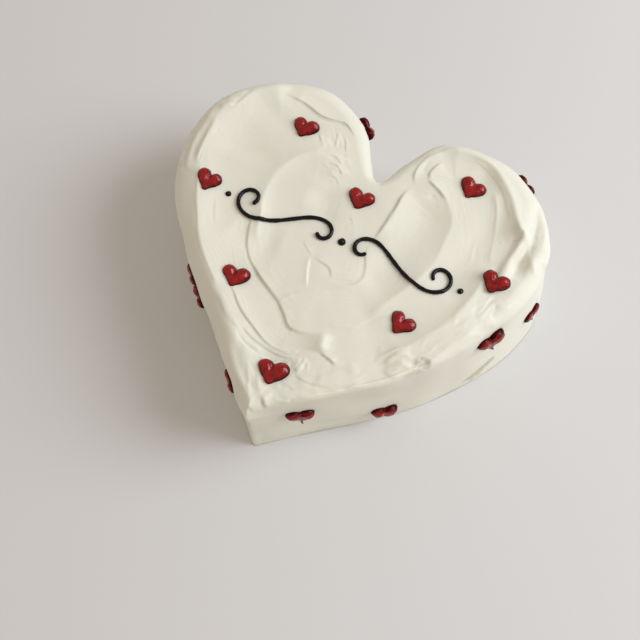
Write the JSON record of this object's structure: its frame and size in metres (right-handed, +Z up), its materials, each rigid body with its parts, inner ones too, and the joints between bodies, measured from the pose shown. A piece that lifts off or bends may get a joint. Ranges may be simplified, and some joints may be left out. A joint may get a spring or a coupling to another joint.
{
  "type": "heart shaped cake",
  "caption": "Whole heart shaped cake in spatula-smoothed cream, with piped red icing hearts on its top and wall and a piped dark scroll across the middle.",
  "frame": {"origin": "middle of the flat bottom's bounding box, where the cake stands", "axes": "+Z up; -Y towards the point of the heart; +X to the right when the heart is read the right way up"},
  "size_m": [0.1713, 0.1508, 0.0591],
  "materials": {
    "cream": "soft satin whipped cream smoothed with a spatula, warm ivory",
    "red_icing": "glossy deep red piped icing",
    "black_icing": "glossy near-black piped icing"
  },
  "bodies": {
    "root": {"cake": "cream", "top_heart_1": "red_icing", "top_heart_2": "red_icing", "top_heart_3": "red_icing", "top_heart_4": "red_icing", "top_heart_5": "red_icing", "top_heart_6": "red_icing", "top_heart_7": "red_icing", "top_heart_8": "red_icing", "side_heart_1": "red_icing", "side_heart_2": "red_icing", "side_heart_3": "red_icing", "side_heart_4": "red_icing", "side_heart_5": "red_icing", "side_heart_6": "red_icing", "side_heart_7": "red_icing", "side_heart_8": "red_icing", "side_heart_9": "red_icing", "side_heart_10": "red_icing", "side_heart_11": "red_icing", "side_heart_12": "red_icing", "side_heart_13": "red_icing", "side_heart_14": "red_icing", "scroll_left": "black_icing", "scroll_right": "black_icing", "scroll_drop_middle": "black_icing", "scroll_drop_left": "black_icing", "scroll_drop_right": "black_icing"}
  },
  "joints": []
}
